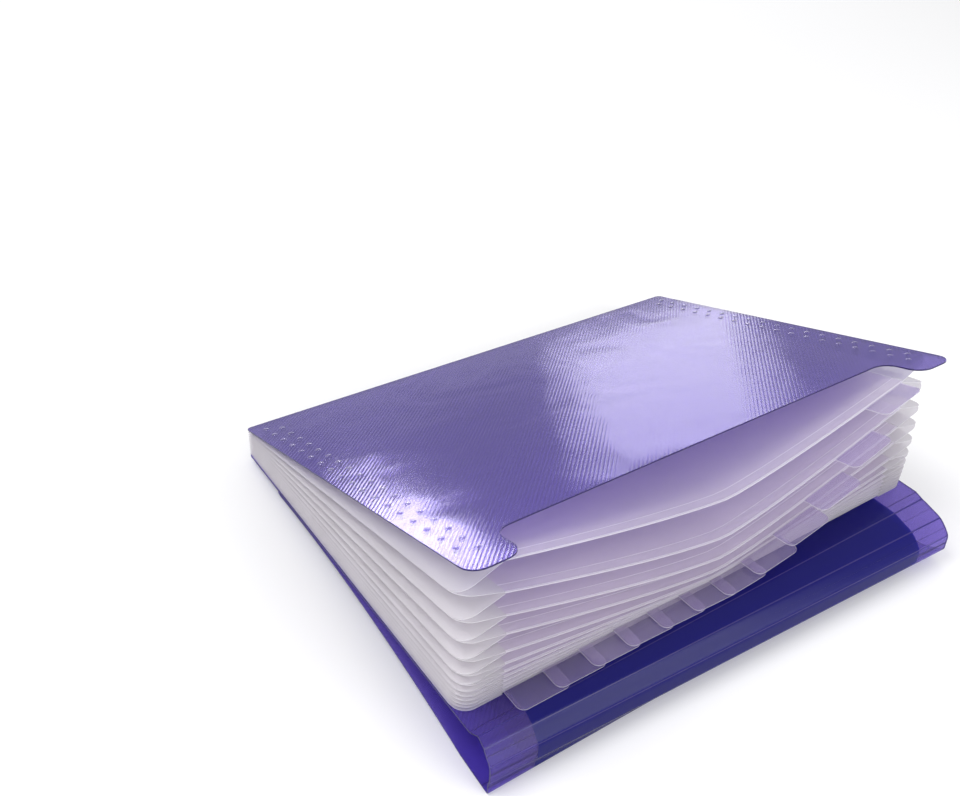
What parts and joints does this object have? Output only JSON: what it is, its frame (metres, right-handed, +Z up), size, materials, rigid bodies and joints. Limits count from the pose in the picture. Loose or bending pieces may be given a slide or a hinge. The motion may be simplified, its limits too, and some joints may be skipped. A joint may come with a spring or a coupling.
{
  "type": "expanding file",
  "caption": "Translucent purple expanding file for A4 papers, fanned open on its folded-back flap, with milky tabbed pockets and an elastic closure.",
  "frame": {"origin": "centre of the bounding box in X and Y, at the floor that the folded-back flap lies on", "axes": "+X along the width, the side of the last index tab; -Y towards the mouth and the flap's bend; +Z up"},
  "size_m": [0.33, 0.2612, 0.1195],
  "materials": {
    "cover_film": "translucent purple film with fine embossed lines",
    "pocket_film": "milky translucent film",
    "elastic": "braided elastic",
    "toggle_plastic": "smooth"
  },
  "bodies": {
    "back_cover": {"back_cover": "cover_film", "gusset_01": "pocket_film"},
    "pocket_sheet_01": {"divider_01": "pocket_film", "gusset_02": "pocket_film"},
    "pocket_sheet_02": {"divider_02": "pocket_film", "gusset_03": "pocket_film"},
    "pocket_sheet_03": {"divider_03": "pocket_film", "gusset_04": "pocket_film"},
    "pocket_sheet_04": {"divider_04": "pocket_film", "gusset_05": "pocket_film"},
    "pocket_sheet_05": {"divider_05": "pocket_film", "gusset_06": "pocket_film"},
    "pocket_sheet_06": {"divider_06": "pocket_film", "gusset_07": "pocket_film"},
    "pocket_sheet_07": {"divider_07": "pocket_film", "gusset_08": "pocket_film"},
    "pocket_sheet_08": {"divider_08": "pocket_film", "gusset_09": "pocket_film"},
    "pocket_sheet_09": {"divider_09": "pocket_film", "gusset_10": "pocket_film"},
    "pocket_sheet_10": {"divider_10": "pocket_film", "gusset_11": "pocket_film"},
    "pocket_sheet_11": {"divider_11": "pocket_film", "gusset_12": "pocket_film"},
    "pocket_sheet_12": {"divider_12": "pocket_film", "gusset_13": "pocket_film"},
    "front_cover": {"front_cover": "cover_film"},
    "flap_strip_1": {"flap_strip_1": "cover_film"},
    "flap_strip_2": {"flap_strip_2": "cover_film"},
    "flap_strip_3": {"flap_strip_3": "cover_film"},
    "flap_strip_4": {"flap_strip_4": "cover_film"},
    "flap_panel": {"flap_panel": "cover_film", "elastic_cord": "elastic", "toggle_left": "toggle_plastic", "toggle_right": "toggle_plastic"}
  },
  "joints": [
    {"name": "pocket_hinge_01", "type": "hinge", "parent": "back_cover", "child": "pocket_sheet_01", "pos_m": [0, 0.12447, 0.00628], "axis": [-1, 0, 0], "range_deg": [-0.1005, 0], "deforming": ["gusset_01"]},
    {"name": "pocket_hinge_02", "type": "hinge", "parent": "pocket_sheet_01", "child": "pocket_sheet_02", "pos_m": [0, 0.12461, 0.00768], "axis": [-1, 0, 0], "range_deg": [-0.2005, 0], "deforming": ["gusset_02"]},
    {"name": "pocket_hinge_03", "type": "hinge", "parent": "pocket_sheet_02", "child": "pocket_sheet_03", "pos_m": [0, 0.12476, 0.00907], "axis": [-1, 0, 0], "range_deg": [-0.2505, 0], "deforming": ["gusset_03"]},
    {"name": "pocket_hinge_04", "type": "hinge", "parent": "pocket_sheet_03", "child": "pocket_sheet_04", "pos_m": [0, 0.12492, 0.01046], "axis": [-1, 0, 0], "range_deg": [-0.3505, 0], "deforming": ["gusset_04"]},
    {"name": "pocket_hinge_05", "type": "hinge", "parent": "pocket_sheet_04", "child": "pocket_sheet_05", "pos_m": [0, 0.12508, 0.01185], "axis": [-1, 0, 0], "range_deg": [-0.4005, 0], "deforming": ["gusset_05"]},
    {"name": "pocket_hinge_06", "type": "hinge", "parent": "pocket_sheet_05", "child": "pocket_sheet_06", "pos_m": [0, 0.12525, 0.01324], "axis": [-1, 0, 0], "range_deg": [-0.6005, 0], "deforming": ["gusset_06"]},
    {"name": "pocket_hinge_07", "type": "hinge", "parent": "pocket_sheet_06", "child": "pocket_sheet_07", "pos_m": [0, 0.12544, 0.01463], "axis": [-1, 0, 0], "range_deg": [-1, 0], "deforming": ["gusset_07"]},
    {"name": "pocket_hinge_08", "type": "hinge", "parent": "pocket_sheet_07", "child": "pocket_sheet_08", "pos_m": [0, 0.12565, 0.01601], "axis": [-1, 0, 0], "range_deg": [-1.6, 0], "deforming": ["gusset_08"]},
    {"name": "pocket_hinge_09", "type": "hinge", "parent": "pocket_sheet_08", "child": "pocket_sheet_09", "pos_m": [0, 0.1259, 0.01739], "axis": [-1, 0, 0], "range_deg": [-2.5, 0], "deforming": ["gusset_09"]},
    {"name": "pocket_hinge_10", "type": "hinge", "parent": "pocket_sheet_09", "child": "pocket_sheet_10", "pos_m": [0, 0.12621, 0.01875], "axis": [-1, 0, 0], "range_deg": [-2.4, 0], "deforming": ["gusset_10"]},
    {"name": "pocket_hinge_11", "type": "hinge", "parent": "pocket_sheet_10", "child": "pocket_sheet_11", "pos_m": [0, 0.12658, 0.0201], "axis": [-1, 0, 0], "range_deg": [-2.9, 0], "deforming": ["gusset_11"]},
    {"name": "pocket_hinge_12", "type": "hinge", "parent": "pocket_sheet_11", "child": "pocket_sheet_12", "pos_m": [0, 0.12701, 0.02143], "axis": [-1, 0, 0], "range_deg": [-3.9, 0], "deforming": ["gusset_12"]},
    {"name": "pocket_hinge_13", "type": "hinge", "parent": "pocket_sheet_12", "child": "front_cover", "pos_m": [0, 0.12754, 0.02273], "axis": [-1, 0, 0], "range_deg": [-2, 0], "deforming": ["gusset_13"]},
    {"name": "flap_crease_1", "type": "hinge", "parent": "back_cover", "child": "flap_strip_1", "pos_m": [0, -0.11046, 0.02874], "axis": [-1, 0, 0], "range_deg": [0, 56.61]},
    {"name": "flap_crease_2", "type": "hinge", "parent": "flap_strip_1", "child": "flap_strip_2", "pos_m": [0, -0.12064, 0.02616], "axis": [-1, 0, 0], "range_deg": [0, 64.61]},
    {"name": "flap_crease_3", "type": "hinge", "parent": "flap_strip_2", "child": "flap_strip_3", "pos_m": [0, -0.12842, 0.01911], "axis": [-1, 0, 0], "range_deg": [0, 74.61]},
    {"name": "flap_crease_4", "type": "hinge", "parent": "flap_strip_3", "child": "flap_strip_4", "pos_m": [0, -0.13021, 0.00876], "axis": [-1, 0, 0], "range_deg": [0, 83.61]},
    {"name": "flap_crease_5", "type": "hinge", "parent": "flap_strip_4", "child": "flap_panel", "pos_m": [0, -0.12386, 0.0004], "axis": [-1, 0, 0], "range_deg": [0, 89.41]}
  ],
  "couplings": [
    {"joint": "pocket_hinge_01", "follows": "pocket_hinge_12", "ratio": 0.025641},
    {"joint": "pocket_hinge_02", "follows": "pocket_hinge_12", "ratio": 0.051282},
    {"joint": "pocket_hinge_03", "follows": "pocket_hinge_12", "ratio": 0.064103},
    {"joint": "pocket_hinge_04", "follows": "pocket_hinge_12", "ratio": 0.089744},
    {"joint": "pocket_hinge_05", "follows": "pocket_hinge_12", "ratio": 0.10256},
    {"joint": "pocket_hinge_06", "follows": "pocket_hinge_12", "ratio": 0.15385},
    {"joint": "pocket_hinge_07", "follows": "pocket_hinge_12", "ratio": 0.25641},
    {"joint": "pocket_hinge_08", "follows": "pocket_hinge_12", "ratio": 0.41026},
    {"joint": "pocket_hinge_09", "follows": "pocket_hinge_12", "ratio": 0.64103},
    {"joint": "pocket_hinge_10", "follows": "pocket_hinge_12", "ratio": 0.61538},
    {"joint": "pocket_hinge_11", "follows": "pocket_hinge_12", "ratio": 0.74359},
    {"joint": "pocket_hinge_13", "follows": "pocket_hinge_12", "ratio": 0.51282},
    {"joint": "flap_crease_1", "follows": "pocket_hinge_12", "ratio": -14.513},
    {"joint": "flap_crease_2", "follows": "pocket_hinge_12", "ratio": -16.564},
    {"joint": "flap_crease_3", "follows": "pocket_hinge_12", "ratio": -19.128},
    {"joint": "flap_crease_4", "follows": "pocket_hinge_12", "ratio": -21.436},
    {"joint": "flap_crease_5", "follows": "pocket_hinge_12", "ratio": -22.923}
  ]
}
